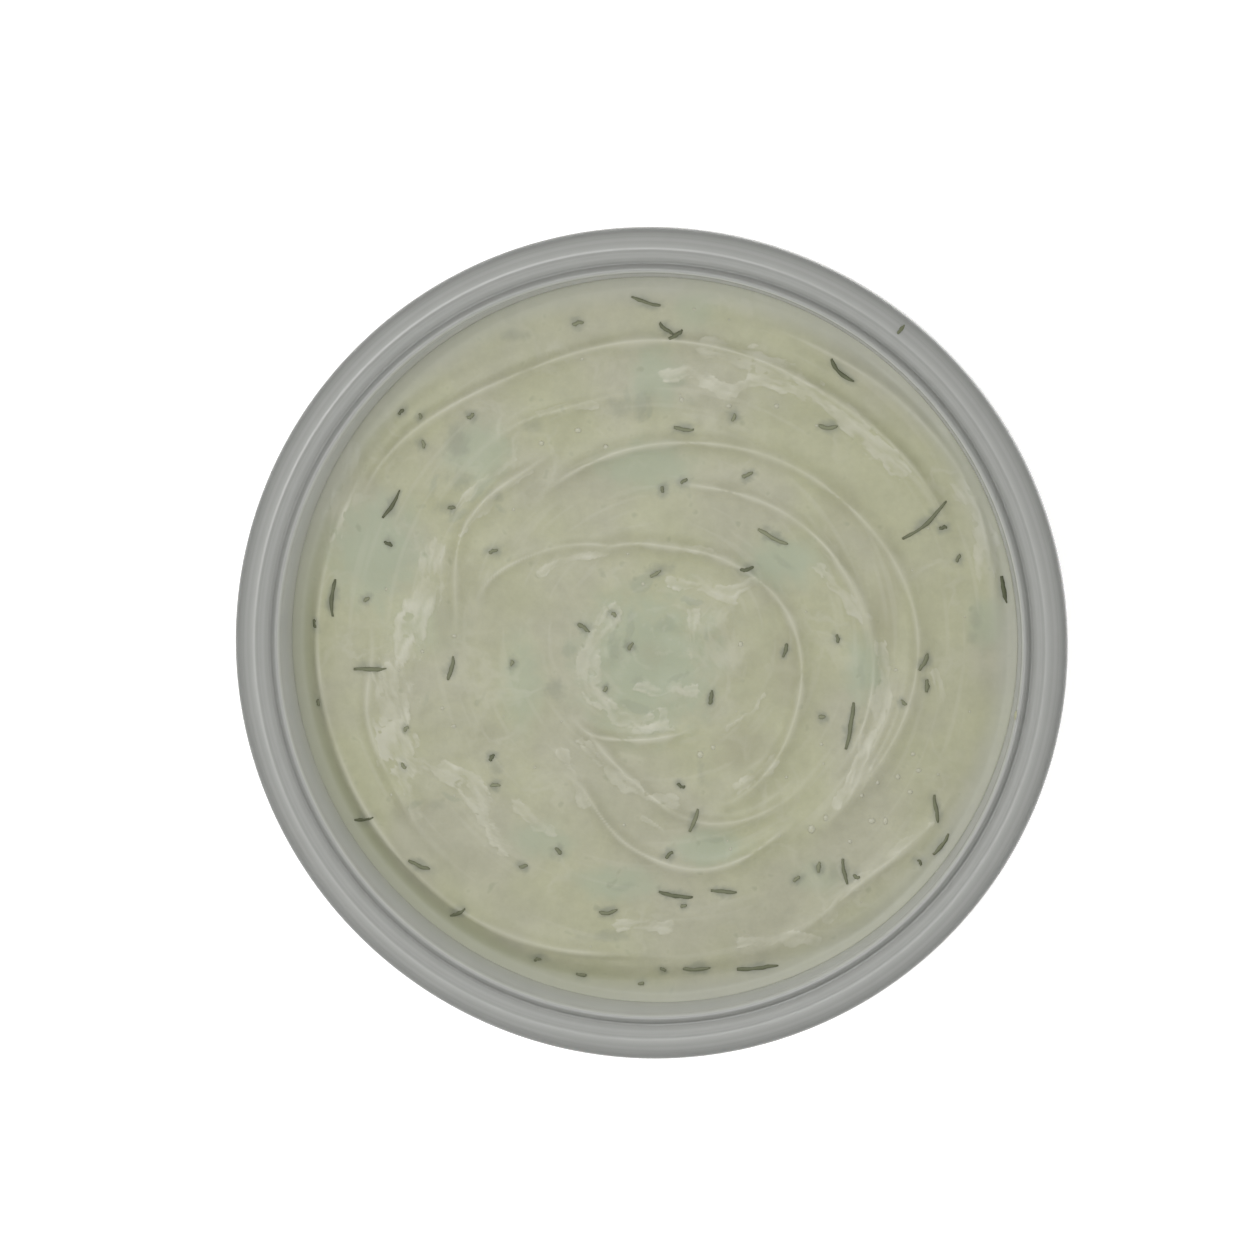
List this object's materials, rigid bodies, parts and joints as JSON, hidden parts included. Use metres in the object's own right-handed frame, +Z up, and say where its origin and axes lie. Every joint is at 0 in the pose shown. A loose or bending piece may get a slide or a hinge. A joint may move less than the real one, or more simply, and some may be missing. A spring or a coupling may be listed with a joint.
{
  "type": "tzatziki dip in a round tub",
  "caption": "Round shallow see-through plastic tub filled with a pale green yoghurt dip whose top is swirled and flecked with chopped dill, open for dipping.",
  "frame": {"origin": "middle of the tub's foot, on the surface it stands on", "axes": "+Z up along the tub's axis; +X to the right and +Y to the top of the picture, which looks almost straight down"},
  "size_m": [0.115, 0.115, 0.035],
  "materials": {
    "clear_tub_plastic": "see-through greyish polypropylene, softly polished",
    "tzatziki": "thick strained yoghurt, pale yellow-green, slightly wet, flecked with dark dill"
  },
  "bodies": {
    "root": {"tub": "clear_tub_plastic", "dip": "tzatziki"}
  },
  "joints": []
}
